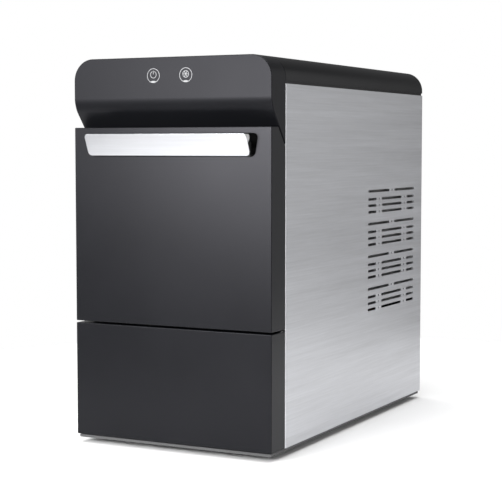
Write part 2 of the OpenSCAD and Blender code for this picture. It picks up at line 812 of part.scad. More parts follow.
module auger() color("lightgray") translate([col_x, col_d, 0]) {
    translate([0, 0, gear_floor + fit_gap]) cylinder(r = shaft_r, h = col_z + 4 - gear_floor - fit_gap);
    translate([0, 0, col_z + 4]) auger_flight();
    translate([0, 0, col_top - 4]) cylinder(r = shaft_r - 1, h = head_h + 12);
}

module auger_base() color("gray") translate([col_x, col_d, cover_top]) difference() {
    cylinder(r = thrust_r, h = col_z - cover_top);
    translate([0, 0, -1]) cylinder(r = shaft_r + run_play, h = col_z - cover_top + 2);
}

// Gear drive

module gearbox_housing() color("darkgray") {
    difference() {
        block(col_x - box_half, col_x + box_half, box_front, box_back, floor_z, cover_top - 4);
        block(col_x - box_half + box_wall, col_x + box_half - box_wall, box_front + box_wall, box_back - box_wall,
            gear_floor, cover_top);
    }
    translate([col_x, idler_d, gear_floor - eps]) cylinder(r = pin_r, h = cover_top - 4 - gear_floor + eps);
}

module gearbox_cover() color("gray") difference() {
    block(col_x - box_half, col_x + box_half, box_front, box_back, cover_top - 4, cover_top);
    translate([col_x, col_d, 0]) cylinder(r = shaft_r + run_play, h = body_h);
    translate([col_x, motor_d, 0]) cylinder(r = pin_r + run_play, h = body_h);
}

module gear_ring(teeth, mod, t, bore, turn) difference() {
    gear(teeth, mod, t, turn);
    translate([0, 0, -1]) cylinder(r = bore, h = t + 2);
}

// Teeth point along the line of centres on one gear and gaps on its mate.
module output_gear() color("goldenrod") translate([col_x, col_d, gear_low_z])
    gear_ring(out_teeth, gear_mod, gear_low_t, shaft_r, 90);

function idler_turn() = 270 + 180 / idler_small;

module idler_gear() color("tan") translate([col_x, idler_d, 0]) {
    bore = pin_r + run_play;
    translate([0, 0, gear_low_z]) gear_ring(idler_small, gear_mod, gear_low_t, bore, idler_turn());
    translate([0, 0, gear_low_z + gear_low_t]) difference() {
        cylinder(r = pin_r + 3, h = gear_high_z - gear_low_z - gear_low_t);
        translate([0, 0, -1]) cylinder(r = bore, h = gear_high_z);
    }
    translate([0, 0, gear_high_z]) gear_ring(idler_large, gear_mod, gear_high_t, bore, 90);
}

module motor_pinion() color("silver") translate([col_x, motor_d, 0]) {
    translate([0, 0, gear_high_z]) gear(pinion_teeth, gear_mod, gear_high_t, 270 + 180 / pinion_teeth);
    translate([0, 0, gear_floor + fit_gap]) cylinder(r = pin_r, h = cover_top - gear_floor - fit_gap + 10);
}

module gear_motor() color("#404044") translate([col_x, motor_d, cover_top]) difference() {
    union() {
        cylinder(r = motor_r, h = motor_h);
        for (a = [45, 135]) rotate(a) block(-motor_r - 6, motor_r + 6, -5, 5, 0, 4);
    }
    translate([0, 0, -1]) cylinder(r = pin_r + run_play, h = 13);
}

// Compressor

module compressor() color("#1c1c1e") translate([comp_x, comp_d, 0]) {
    dome = 18;
    translate([0, 0, comp_z]) rotate_extrude() {
        square([comp_r, comp_h - dome]);
        square([comp_r - dome, comp_h]);
        translate([comp_r - dome, comp_h - dome]) circle(dome);
    }
    for (a = [45, 135]) rotate(a) block(-comp_r - 12, comp_r + 12, -9, 9, comp_z, comp_z + 3);
}

module compressor_mounts() color("black") translate([comp_x, comp_d, floor_z])
    for (a = [45 : 90 : 315]) rotate(a) translate([comp_r + 4, 0, 0]) cylinder(r = 7, h = comp_z - floor_z);

// Condenser and fan

function tube_z(i) = cond_z + (cond_h - tube_step * (tube_runs - 1)) / 2 + i * tube_step;

module condenser_runs(r) for (i = [0 : tube_runs - 1])
    translate([cond_back - cond_t / 2, 0, tube_z(i)]) bar_d(r, vent_d - cond_half - 1, vent_d + cond_half + 1);

module condenser_fins() color("lightgray") difference() {
    union() {
        for (i = [0 : fin_count - 1]) {
            d = vent_d - cond_half + 4 + i * (2 * cond_half - 8 - fin_t) / (fin_count - 1);
            block(cond_back - cond_t, cond_back, d, d + fin_t, cond_z, cond_z + cond_h);
        }
        block(cond_back - cond_t, cond_back, vent_d - cond_half, vent_d + cond_half, cond_z - 2, cond_z + eps);
        block(cond_back - cond_t, cond_back, vent_d - cond_half, vent_d + cond_half, cond_z + cond_h - eps, cond_z + cond_h + 2);
        for (d = [vent_d - cond_half, vent_d + cond_half - 1.5])
            block(cond_back - cond_t, cond_back + 6 - fit_gap, d, d + 1.5, cond_z - 2, cond_z + cond_h + 2);
    }
    condenser_runs(tube_r + run_play);
}

module condenser_tube() color("peru") {
    condenser_runs(tube_r);
    for (i = [0 : tube_runs - 2]) {
        back = i % 2 == 0;
        translate([cond_back - cond_t / 2, vent_d + (back ? 1 : -1) * (cond_half + 1), (tube_z(i) + tube_z(i + 1)) / 2])
            rotate([0, 90, 0]) rotate([0, 0, back ? 0 : 180]) rotate_extrude(angle = 180)
                translate([tube_step / 2, 0]) circle(tube_r);
    }
}

module fan_shroud() color("#2a2a2a") difference() {
    union() {
        block(shroud_x, shroud_x + shroud_t, vent_d - cond_half, vent_d + cond_half, cond_z - 2, cond_z + cond_h + 2);
        for (a = [45 : 90 : 315]) fan_arm(a, 3.5, shroud_x - 12, shroud_x + eps);
    }
    translate([0, vent_d, fan_z]) bar_x(fan_r + 3, shroud_x - 1, shroud_x + shroud_t + 1);
}

module fan_arm(a, r, x0, x1) translate([0, vent_d + fan_arm_r * cos(a), fan_z + fan_arm_r * sin(a)]) bar_x(r, x0, x1);

module fan_motor() color("#38383c") {
    difference() {
        union() {
            translate([0, vent_d, fan_z]) {
                bar_x(hub_r - 2, fan_plate_x - fan_motor_h, fan_plate_x);
                for (a = [45, 135]) rotate([a, 0, 0])
                    block(fan_plate_x - 3, fan_plate_x, -fan_arm_r - 5, fan_arm_r + 5, -5, 5);
            }
            for (a = [45 : 90 : 315]) fan_arm(a, 3, fan_plate_x - 1, shroud_x - 12);
        }
        translate([0, vent_d, fan_z]) bar_x(fan_shaft_r + run_play, fan_plate_x - 12, fan_plate_x + 1);
    }
}

module fan_rotor() color("#505054") translate([0, vent_d, fan_z]) {
    bar_x(hub_r, fan_x, fan_x + fan_t);
    bar_x(fan_shaft_r, fan_plate_x - 11.5, fan_x + eps);
    for (i = [0 : blade_count - 1]) rotate([360 * i / blade_count, 0, 0])
        translate([fan_x + fan_t / 2, 0, 0]) rotate([0, 0, blade_pitch])
            block(-blade_t / 2, blade_t / 2, -14, 14, hub_r - 4, fan_r - 3);
}

// Pipes

module refrigerant_lines() color("peru") {
    r = 3;
    top_z = comp_z + comp_h;
    pipe([[comp_x - 20, comp_d, top_z - 2 - fit_gap + 2.4], [comp_x - 20, comp_d, top_z + 14],
        [col_x + foam_r + 8, comp_d, top_z + 14], [col_x + foam_r + 8, col_d, top_z + 14],
        [col_x + foam_r + fit_gap, col_d, top_z + 14]], r);
    pipe([[comp_x + 20, comp_d, top_z + fit_gap], [comp_x + 20, comp_d, top_z + 9],
        [cond_back - cond_t / 2, comp_d, top_z + 9], [cond_back - cond_t / 2, comp_d, cond_z - 2 - fit_gap]], r);
}

// Water pump and hose

module water_pump() color("#2a2a2e") {
    translate([outlet_x, bulk_d + 28, floor_z]) {
        cylinder(r = 18, h = 44);
        translate([0, 0, 44 - eps]) cylinder(r = 4, h = 6);
    }
    translate([outlet_x, 0, outlet_z]) bar_d(5, bulk_d + 2 + slide_gap, bulk_d + 14);
}

module water_hose() color("lightgray") {
    top = floor_z + 50;
    inlet = cover_top + 8;
    reach = thrust_r / sqrt(2) + 0.3;
    pipe([[outlet_x, bulk_d + 28, top + fit_gap], [outlet_x, bulk_d + 28, top + 12], [col_x + 50, bulk_d + 22, top + 12],
        [col_x + 46, col_d - 36, inlet], [col_x + reach + 2.2, col_d - reach - 2.2, inlet]], 3);
}

module power_board() color("darkgreen") {
    x0 = -inner_half + 8;
    d0 = motor_d + 6 - 48;
    z0 = cover_top + motor_h + 40;
    block(x0, x0 + 1.6, d0, d0 + 90, z0, z0 + 110);
    for (d = [d0 + 8, d0 + 82], z = [z0 + 8, z0 + 102]) translate([0, d, z]) bar_x(3, -inner_half, x0 + eps);
    block(x0 + 1.6 - eps, x0 + 26, d0 + 12, d0 + 42, z0 + 15, z0 + 50);
    block(x0 + 1.6 - eps, x0 + 16, d0 + 50, d0 + 80, z0 + 20, z0 + 40);
    for (k = [0 : 2]) translate([0, d0 + 20 + k * 24, z0 + 80]) bar_x(8, x0 + 1.6 - eps, x0 + 24);
}

// Rear fittings

module cord_gland() color("black") translate([gland_x, 0, gland_z]) difference() {
    union() {
        bar_d(gland_r - 0.1, rear_plate_d - 6, rear_plate_d + sheet_t + eps);
        bar_d(gland_r + 3, rear_plate_d + sheet_t, rear_plate_d + sheet_t + 5);
    }
    bar_d(cord_r, rear_plate_d - 7, body_d);
}

module drain_nozzle() color("gray") translate([drain_x, 0, drain_z]) difference() {
    union() {
        bar_d(drain_r + 1.9, rear_plate_d - 8, rear_plate_d + sheet_t + eps);
        bar_d(drain_r + 5, rear_plate_d + sheet_t, rear_plate_d + sheet_t + 1.6);
        bar_d(drain_r, rear_plate_d + sheet_t, body_d - 3);
    }
    bar_d(drain_r - 1.6, rear_plate_d - 9, body_d);
}

module drain_plug() color("black") translate([drain_x, 0, drain_z]) difference() {
    bar_d(drain_r + 3, rear_plate_d + sheet_t + 1.6 + fit_gap, body_d - 0.5);
    bar_d(drain_r + run_play, rear_plate_d, body_d - 3 + slide_gap);
}

place() base_pan();
place() rubber_feet();
place() left_side_panel();
place() right_side_panel();
place() top_cover();
place() rear_panel();
place() rear_panel_screws();
place() control_head();
place() power_key_mark();
place() clean_key_mark();
place() control_board();
place() touch_pads();
place() front_frame();
place() bay_liner();
place() bay_foam();
place() mid_shelf();
place() bulkhead();
place() bin_slides_fixed();
place() ice_door_shell();
place() ice_door_liner();
place() ice_door_foam();
place() door_gasket();
place() handle_cup();
place() handle_bracket();
place() handle_plate();
place() bin_slides_moving();
place() ice_bin();
place() drain_grid();
place() tank_front();
place() tank_front_liner();
place() water_tank();
place() tank_seal();
place() float_arm();
place() ice_chute();
place() extruder_head();
place() freezing_cylinder();
place() evaporator_coil();
place() column_foam();
place() auger();
place() auger_base();
place() gearbox_housing();
place() gearbox_cover();
place() output_gear();
place() idler_gear();
place() motor_pinion();
place() gear_motor();
place() compressor();
place() compressor_mounts();
place() condenser_fins();
place() condenser_tube();
place() fan_shroud();
place() fan_motor();
place() fan_rotor();
place() refrigerant_lines();
place() water_pump();
place() water_hose();
place() power_board();
place() cord_gland();
place() drain_nozzle();
place() drain_plug();
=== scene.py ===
# %% [markdown]
# # A countertop nugget ice maker
# The machine is a tall, narrow steel-sided box. Its black front has three parts: a control head that
# curves under like a nose, an ice drawer with a leaning steel grip, and a water tank drawer below it. The
# working parts are already built and placed; they come in as a fixed frame. This lesson gives every
# surface its finish and models the shells that are seen up close again, with the small rounded edges that
# catch the light. Everything is in metres. X runs across, Y from front to rear, and Z up.

# %% Load the frame
import json
import math

import bmesh
import bpy
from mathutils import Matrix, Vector


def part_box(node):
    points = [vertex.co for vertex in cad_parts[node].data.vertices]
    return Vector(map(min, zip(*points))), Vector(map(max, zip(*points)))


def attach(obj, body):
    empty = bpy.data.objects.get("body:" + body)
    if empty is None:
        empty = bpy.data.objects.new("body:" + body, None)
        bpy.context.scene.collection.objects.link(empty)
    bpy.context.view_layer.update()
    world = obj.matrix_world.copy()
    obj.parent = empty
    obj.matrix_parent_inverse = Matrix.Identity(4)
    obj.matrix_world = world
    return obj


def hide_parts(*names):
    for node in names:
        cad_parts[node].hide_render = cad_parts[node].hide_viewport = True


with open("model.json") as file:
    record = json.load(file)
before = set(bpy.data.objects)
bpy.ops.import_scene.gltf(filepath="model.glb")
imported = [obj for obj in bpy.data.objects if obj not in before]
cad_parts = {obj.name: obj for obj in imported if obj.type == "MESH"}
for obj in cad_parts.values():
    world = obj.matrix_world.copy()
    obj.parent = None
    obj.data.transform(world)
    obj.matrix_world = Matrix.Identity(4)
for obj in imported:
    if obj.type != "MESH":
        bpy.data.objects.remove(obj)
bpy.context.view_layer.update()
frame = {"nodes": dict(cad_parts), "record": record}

# %% [markdown]
# ## Working by hand, in code
# An operator works on whatever is selected, so each step starts by clearing the selection. `Editing`
# opens a piece in edit mode and closes it again. `pick` is the mouse click: it selects the faces or edges
# whose middle and direction pass a test, which is clearer to read than a list of numbers.

# %% Selecting and editing
NEAR = 0.00012
SHARP = 0.5
DOUBLES = 0.000005


def deselect():
    if bpy.context.mode != "OBJECT":
        bpy.ops.object.mode_set(mode="OBJECT")
    bpy.ops.object.select_all(action="DESELECT")


def only(piece):
    deselect()
    piece.select_set(True)
    bpy.context.view_layer.objects.active = piece


class Editing:
    """Edit mode for one piece, used with a `with` block."""

    def __init__(self, piece, mode="FACE"):
        self.piece, self.mode = piece, mode

    def __enter__(self):
        only(self.piece)
        bpy.ops.object.mode_set(mode="EDIT")
        bpy.ops.mesh.select_mode(type=self.mode)
        bpy.ops.mesh.select_all(action="DESELECT")
        return self

    def __exit__(self, *problem):
        bpy.ops.object.mode_set(mode="OBJECT")

    def pick(self, test, sharp=False):
        """Selects the faces or edges that pass the test, and counts them. Sharp keeps corners only."""
        mesh = bmesh.from_edit_mesh(self.piece.data)
        mesh.normal_update()
        count = 0
        for part in (mesh.faces if self.mode == "FACE" else mesh.edges):
            if self.mode == "FACE":
                chosen = test(part.calc_center_median(), part.normal)
            else:
                a, b = (v.co for v in part.verts)
                chosen = test((a + b) / 2, (b - a).normalized())
                if sharp:
                    chosen = chosen and part.calc_face_angle(0) > SHARP
            part.select_set(chosen)
            count += chosen
        mesh.select_flush_mode()
        bmesh.update_edit_mesh(self.piece.data)
        return count

    def everything(self):
        bpy.ops.mesh.select_all(action="SELECT")


def close(a, b, reach=NEAR):
    return abs(a - b) < reach


print("hand tools ready")

# %% [markdown]
# Most of the machine starts as a block. A new primitive keeps its size and place in the object, so both are
# applied at once: the finished mesh then lies where it belongs and its object sits at the origin.

# %% Blocks, rods and small steps that repeat
def settle(piece):
    """Moves the object's place, turn and size into its mesh."""
    only(piece)
    bpy.ops.object.transform_apply(location=True, rotation=True, scale=True)
    return piece


def named(name):
    piece = bpy.context.object
    piece.name = piece.data.name = name
    return piece


def block(name, low, high):
    """A cube stretched between two corners."""
    deselect()
    low, high = Vector(low), Vector(high)
    bpy.ops.mesh.primitive_cube_add(size=1, location=(low + high) / 2, scale=high - low)
    return settle(named(name))


def rod(name, centre, radius, length, axis="Z", sides=48):
    """A cylinder along one axis, centred on a point."""
    deselect()
    turn = {"X": (0, math.pi / 2, 0), "Y": (-math.pi / 2, 0, 0), "Z": (0, 0, 0)}[axis]
    bpy.ops.mesh.primitive_cylinder_add(
        vertices=sides, radius=radius, depth=length, location=centre, rotation=turn
    )
    return settle(named(name))


def round_edges(piece, radius, test, segments=6, sharp=False):
    """Rounds the edges that pass the test."""
    with Editing(piece, "EDGE") as hand:
        if hand.pick(test, sharp):
            bpy.ops.mesh.bevel(offset=radius, segments=segments, affect="EDGES", clamp_overlap=True)
    return piece


def slice_off(piece, point, normal):
    """Cuts away all that lies beyond a plane, and closes the cut."""
    with Editing(piece) as hand:
        hand.everything()
        bpy.ops.mesh.bisect(plane_co=point, plane_no=normal, use_fill=True, clear_outer=True)
    return piece


def open_side(piece, test):
    """Deletes the faces that pass the test, as the open back of a shell."""
    with Editing(piece) as hand:
        hand.pick(test)
        bpy.ops.mesh.delete(type="FACE")
    return piece


def modify(piece, kind, **settings):
    """Adds a modifier, sets it and applies it."""
    only(piece)
    modifier = piece.modifiers.new(kind.title(), kind)
    for name, value in settings.items():
        setattr(modifier, name, value)
    bpy.ops.object.modifier_apply(modifier=modifier.name)
    return piece


def thicken(piece, wall):
    """Gives an open shell its wall, inwards."""
    return modify(piece, "SOLIDIFY", thickness=wall, offset=-1, use_even_offset=True)


def cut(piece, cutter):
    """Takes the cutter's shape out of the piece and throws the cutter away."""
    modify(piece, "BOOLEAN", operation="DIFFERENCE", solver="EXACT", object=cutter)
    bpy.data.objects.remove(cutter)
    return piece


def weld(piece, other):
    """Adds the other's shape to the piece, as one skin, and throws the other away."""
    modify(piece, "BOOLEAN", operation="UNION", solver="EXACT", object=other)
    bpy.data.objects.remove(other)
    return piece


def join(pieces, name):
    only(pieces[0])
    for piece in pieces:
        piece.select_set(True)
    bpy.ops.object.join()
    return named(name)


def outward(piece):
    """Merges doubles and points every face outwards."""
    with Editing(piece) as hand:
        hand.everything()
        bpy.ops.mesh.remove_doubles(threshold=DOUBLES)
        bpy.ops.mesh.normals_make_consistent(inside=False)
    return piece


def smooth(piece, angle=30):
    only(piece)
    bpy.ops.object.shade_smooth_by_angle(angle=math.radians(angle))
    return piece


def copy_of(piece, name, shift=(0, 0, 0), mirror_x=False):
    """A copy with its own mesh, moved or mirrored across the middle plane."""
    twin = piece.copy()
    twin.data = piece.data.copy()
    bpy.context.scene.collection.objects.link(twin)
    twin.name = twin.data.name = name
    twin.location = shift
    if mirror_x:
        twin.scale = (-1, 1, 1)
    settle(twin)
    if mirror_x:
        outward(twin)
    return twin


print("blocks and rods ready")

# %% [markdown]
# ## Shader sums as plain Python
# A finish is a small recipe: some noise, stretched one way, mixed into a colour, a roughness and a tiny
# relief. `Signal` wraps a node's output so that such a recipe can be written as a sum, and every sum adds
# its Math node. `Finish` makes all other nodes with one method.

# %% Signals and finishes
class Signal:
    """A number that varies over the surface."""

    def __init__(self, finish, socket):
        self.finish, self.socket = finish, socket

    def sum_with(self, operation, first, second):
        return self.finish.node("ShaderNodeMath", {"operation": operation}, {0: first, 1: second})

    def __add__(self, other):
        return self.sum_with("ADD", self, other)

    def __mul__(self, other):
        return self.sum_with("MULTIPLY", self, other)

    def below(self, level):
        return self.sum_with("LESS_THAN", self, level)


class Finish:
    """One material, built node by node."""

    def __init__(self, name, **constants):
        self.material = bpy.data.materials.new(name)
        self.material.use_nodes = True
        self.tree = self.material.node_tree
        self.tree.nodes.clear()
        self.shader = self.tree.nodes.new("ShaderNodeBsdfPrincipled")
        output = self.tree.nodes.new("ShaderNodeOutputMaterial")
        self.tree.links.new(self.shader.outputs[0], output.inputs[0])
        for socket, value in constants.items():
            self.shader.inputs[socket.replace("_", " ")].default_value = value

    def node(self, kind, settings, inputs, output=0):
        made = self.tree.nodes.new(kind)
        for name, value in settings.items():
            setattr(made, name, value)
        for name, value in inputs.items():
            if isinstance(value, Signal):
                self.tree.links.new(value.socket, made.inputs[name])
            else:
                made.inputs[name].default_value = value
        return Signal(self, made.outputs[output])

    def place(self, stretch=(1, 1, 1), turn=(0, 0, 0)):
        """Object coordinates, in metres, stretched so that a pattern runs one way."""
        spot = self.node("ShaderNodeTexCoord", {}, {}, "Object")
        return self.node("ShaderNodeMapping", {}, {"Vector": spot, "Scale": stretch, "Rotation": turn})

    def noise(self, scale, detail=2, rough=0.5, stretch=(1, 1, 1)):
        return self.node(
            "ShaderNodeTexNoise", {},
            {"Vector": self.place(stretch), "Scale": scale, "Detail": detail, "Roughness": rough},
        )

    def cells(self, scale, feature="F1", output="Distance", stretch=(1, 1, 1)):
        return self.node(
            "ShaderNodeTexVoronoi", {"feature": feature},
            {"Vector": self.place(stretch), "Scale": scale}, output,
        )

    def blend(self, factor, first, second):
        """A colour that goes from first to second with the factor."""
        mixed = self.tree.nodes.new("ShaderNodeMix")
        mixed.data_type = "RGBA"
        for number, value in ((0, factor), (6, first), (7, second)):
            if isinstance(value, Signal):
                self.tree.links.new(value.socket, mixed.inputs[number])
            else:
                mixed.inputs[number].default_value = value
        return Signal(self, mixed.outputs[2])

    def relief(self, height, strength, depth):
        """A bump of that depth in metres."""
        return self.node("ShaderNodeBump", {}, {"Height": height, "Strength": strength, "Distance": depth})

    def drive(self, **signals):
        for socket, signal in signals.items():
            self.tree.links.new(signal.socket, self.shader.inputs[socket.replace("_", " ")])
        return self.material


def grey(level, tint=0.0):
    """A nearly neutral colour: tint leans it to blue."""
    return (level * (1 - tint), level * (1 - tint * 0.6), level * (1 + tint), 1)


print("shader sums ready")

# %% [markdown]
# ## Satin black plastic
# The doors, the head and the cover are moulded in black plastic with a satin skin. Seen close, such a
# skin has a very fine grain, slow changes in gloss where the mould was polished, and a faint blue cast. A
# flat black would look like a hole, so the colour, the roughness and the relief all move a little.

# %% Black shells
COOL = (0.93, 0.92, 1.0, 1)


def satin_black(name, level, gloss, shine, tint=0.08):
    finish = Finish(name, Specular_IOR_Level=shine, IOR=1.5, Specular_Tint=COOL)
    polish = finish.noise(9, detail=3)
    grain = finish.noise(2600, detail=2)
    specks = finish.cells(900).below(0.07)
    colour = finish.blend(polish, grey(level * 0.8, tint), grey(level * 1.25, tint))
    colour = finish.blend(specks * 0.12, colour, grey(level * 3, tint))
    return finish.drive(
        Base_Color=colour,
        Roughness=polish * 0.08 + grain * 0.05 + (gloss - 0.065),
        Normal=finish.relief(grain, 0.25, 0.00003),
    )


def matt_plastic(name, level, tint=0.0, grain_size=1500, rough=0.62):
    finish = Finish(name, Specular_IOR_Level=0.4)
    grain = finish.cells(grain_size)
    patches = finish.noise(22, detail=3)
    colour = finish.blend(patches, grey(level * 0.82, tint), grey(level * 1.18, tint))
    return finish.drive(
        Base_Color=colour,
        Roughness=patches * 0.1 + (rough - 0.05),
        Normal=finish.relief(grain, 0.35, 0.00006),
    )


door_black = satin_black("door_black", 0.006, 0.34, 0.16, 0.12)
head_black = satin_black("head_black", 0.006, 0.42, 0.15, 0.12)
cover_black = satin_black("cover_black", 0.005, 0.30, 0.14)
dark_plastic = matt_plastic("dark_plastic", 0.018, 0.03)
recess_plastic = matt_plastic("recess_plastic", 0.006, 0.02, rough=0.7)
grey_plastic = matt_plastic("grey_plastic", 0.075, 0.02)
print("black shells ready")

# %% [markdown]
# ## Brushed steel
# Sheet is brushed by a belt that runs one way, which leaves long fine scratches. The pattern is noise
# squeezed across the brushing and stretched along it, in three widths: broad soft bands, lines, and
# hairlines. The side panels are brushed from front to rear and the grip is brushed across its width.

# %% Steel
def brushed(name, along, level, rough, streak=0.12):
    """Steel with scratches along X, Y or Z."""
    finish = Finish(name, Metallic=1.0)

    def lines(width, length, detail):
        across = 1 / width
        stretch = tuple(1 / length if axis == along else across for axis in "XYZ")
        return finish.noise(1, detail=detail, stretch=stretch)

    bands = lines(0.009, 0.35, 2)
    strokes = lines(0.0019, 0.09, 3)
    hairs = lines(0.00028, 0.02, 2)
    worn = bands * 0.35 + strokes * 0.4 + hairs * 0.25
    colour = finish.blend(worn, grey(level * (1 - streak), 0.025), grey(level * (1 + streak), 0.025))
    return finish.drive(
        Base_Color=colour,
        Roughness=worn * 0.24 + (rough - 0.12),
        Normal=finish.relief(strokes * 0.5 + hairs * 0.5, 0.22, 0.00005),
    )


def plated(name, level, tint):
    """Zinc plating: a fine crystal spangle under a dull shine."""
    finish = Finish(name, Metallic=1.0)
    spangle = finish.cells(260, output="Color")
    haze = finish.noise(40, detail=4)
    colour = finish.blend(haze, grey(level * 0.8, tint), grey(level * 1.15, tint))
    colour = finish.blend(0.12, colour, spangle)
    return finish.drive(
        Base_Color=colour, Roughness=haze * 0.25 + 0.25, Normal=finish.relief(haze, 0.1, 0.0001)
    )


def turned_metal(name, colour_low, colour_high, rough):
    """Machined or drawn metal: fine rings across its length and a little tarnish."""
    finish = Finish(name, Metallic=1.0)
    rings = finish.noise(1, detail=2, stretch=(60, 60, 2400))
    tarnish = finish.noise(45, detail=4)
    colour = finish.blend(tarnish, colour_low, colour_high)
    return finish.drive(
        Base_Color=colour, Roughness=tarnish * 0.2 + rings * 0.1 + (rough - 0.15),
        Normal=finish.relief(rings, 0.2, 0.00005),
    )


side_steel = brushed("side_steel", "Y", 0.56, 0.40, streak=0.34)
grip_steel = brushed("grip_steel", "X", 0.60, 0.34, streak=0.2)
zinc = plated("zinc", 0.55, 0.03)
bright_steel = turned_metal("bright_steel", grey(0.55), grey(0.72), 0.28)
copper = turned_metal("copper", (0.52, 0.22, 0.12, 1), (0.83, 0.42, 0.27, 1), 0.34)
fin_aluminium = turned_metal("fin_aluminium", grey(0.60), grey(0.78), 0.38)
print("steels ready")

# %% [markdown]
# ## Clear, white and working plastics
# The bin and the tank are clear and slightly frosted, so that what they hold can be seen. Liners are
# glossy white, gears are a cream engineering plastic, and the insulation is a pale foam with visible
# cells.

# %% Other plastics, rubber and foam
def clear_plastic(name, colour, frost):
    finish = Finish(name, IOR=1.49, Transmission_Weight=0.9)
    flow = finish.noise(26, detail=3)
    tinted = finish.blend(flow, colour, grey(0.97))
    return finish.drive(
        Base_Color=tinted, Roughness=flow * 0.08 + frost, Normal=finish.relief(flow, 0.06, 0.0006)
    )


def gloss_plastic(name, low, high, rough):
    finish = Finish(name, Specular_IOR_Level=0.5)
    flow = finish.noise(14, detail=3)
    peel = finish.noise(420, detail=2)
    return finish.drive(
        Base_Color=finish.blend(flow, low, high),
        Roughness=flow * 0.1 + (rough - 0.05), Normal=finish.relief(peel, 0.1, 0.00005),
    )


def rubber_skin(name, level):
    finish = Finish(name, Specular_IOR_Level=0.3)
    bloom = finish.noise(60, detail=4)
    pores = finish.cells(1900)
    return finish.drive(
        Base_Color=finish.blend(bloom, grey(level), grey(level * 2.2)),
        Roughness=bloom * 0.15 + 0.68, Normal=finish.relief(pores, 0.4, 0.00008),
    )


def foam_skin(name):
    finish = Finish(name, Specular_IOR_Level=0.2)
    bubbles = finish.cells(420)
    stain = finish.noise(18, detail=4)
    colour = finish.blend(stain, (0.80, 0.70, 0.46, 1), (0.90, 0.84, 0.66, 1))
    return finish.drive(
        Base_Color=finish.blend(bubbles * 0.8, (0.62, 0.52, 0.32, 1), colour),
        Roughness=stain * 0.1 + 0.82, Normal=finish.relief(bubbles, 0.7, 0.0006),
    )


def circuit(name):
    """Solder mask over tracks: straight copper lanes on a grid, and pads."""
    finish = Finish(name, Specular_IOR_Level=0.5)
    lanes = finish.node(
        "ShaderNodeTexBrick", {"offset": 0.5},
        {"Vector": finish.place(turn=(math.pi / 2, 0, 0)), "Scale": 260.0, "Mortar Size": 0.018},
        "Fac",
    )
    pads = finish.cells(300).below(0.16)
    mask = finish.blend(lanes * 0.55, (0.008, 0.075, 0.03, 1), (0.03, 0.2, 0.08, 1))
    return finish.drive(
        Base_Color=finish.blend(pads * 0.8, mask, (0.55, 0.5, 0.36, 1)),
        Roughness=lanes * 0.1 + 0.3, Normal=finish.relief(lanes, 0.3, 0.00005),
    )


# Near-white plastic for the sides of the grip's ears: a painted highlight in place of the folded steel's
# bright reflection.
ear_painted_highlight = gloss_plastic("ear_painted_highlight", grey(0.82), grey(0.9), 0.5)
white_liner = gloss_plastic("white_liner", grey(0.74, 0.01), grey(0.84, 0.01), 0.28)
key_print = gloss_plastic("key_print", grey(0.26, 0.02), grey(0.32, 0.02), 0.45)
gear_cream = gloss_plastic("gear_cream", (0.72, 0.62, 0.42, 1), (0.82, 0.74, 0.54, 1), 0.36)
float_orange = gloss_plastic("float_orange", (0.72, 0.22, 0.03, 1), (0.85, 0.31, 0.05, 1), 0.4)
hose_plastic = gloss_plastic("hose_plastic", grey(0.5, 0.01), grey(0.66, 0.01), 0.35)
bin_clear = clear_plastic("bin_clear", (0.84, 0.93, 0.97, 1), 0.10)
tank_clear = clear_plastic("tank_clear", (0.66, 0.78, 0.86, 1), 0.14)
black_paint = satin_black("black_paint", 0.01, 0.38, 0.5, 0.0)
black_rubber = rubber_skin("black_rubber", 0.011)
foam = foam_skin("foam")
board_green = circuit("board_green")
print("plastics, rubber and foam ready")

# %% [markdown]
# ## Finish every part of the frame
# Each fixed part takes its finish by name. Parts that are modelled again below still get theirs here, so
# that nothing is ever left plain.

# %% Give the frame its finishes
FINISH_OF = {
    cover_black: ["top_cover"],
    head_black: ["control_head"],
    door_black: ["ice_door_shell", "tank_front"],
    side_steel: ["left_side_panel", "right_side_panel"],
    grip_steel: ["handle_plate"],
    recess_plastic: ["handle_cup", "handle_bracket"],
    dark_plastic: [
        "rear_panel", "front_frame", "fan_shroud", "fan_motor", "fan_rotor", "water_pump", "cord_gland",
    ],
    grey_plastic: [
        "base_pan", "mid_shelf", "tank_front_liner", "auger_base", "gearbox_housing", "gearbox_cover",
        "drain_nozzle",
    ],
    zinc: ["rear_panel_screws", "touch_pads", "bulkhead", "bin_slides_fixed", "bin_slides_moving"],
    bright_steel: ["extruder_head", "freezing_cylinder", "auger"],
    copper: ["evaporator_coil", "condenser_tube", "refrigerant_lines"],
    fin_aluminium: ["condenser_fins"],
    white_liner: ["bay_liner", "ice_door_liner", "ice_chute", "drain_grid"],
    key_print: ["power_key_mark", "clean_key_mark"],
    gear_cream: ["output_gear", "idler_gear", "motor_pinion"],
    float_orange: ["float_arm"],
    hose_plastic: ["water_hose"],
    bin_clear: ["ice_bin"],
    tank_clear: ["water_tank"],
    black_paint: ["compressor", "gear_motor"],
    black_rubber: ["rubber_feet", "door_gasket", "tank_seal", "compressor_mounts", "drain_plug"],
    foam: ["bay_foam", "ice_door_foam", "column_foam"],
    board_green: ["control_board", "power_board"],
}


def coat(piece, material):
    piece.data.materials.clear()
    piece.data.materials.append(material)
    return piece


for material, names in FINISH_OF.items():
    for name in names:
        coat(frame["nodes"][name], material)
left_plain = set(frame["nodes"]) - {name for names in FINISH_OF.values() for name in names}
print("finished nodes:", sum(map(len, FINISH_OF.values())), "left plain:", sorted(left_plain))
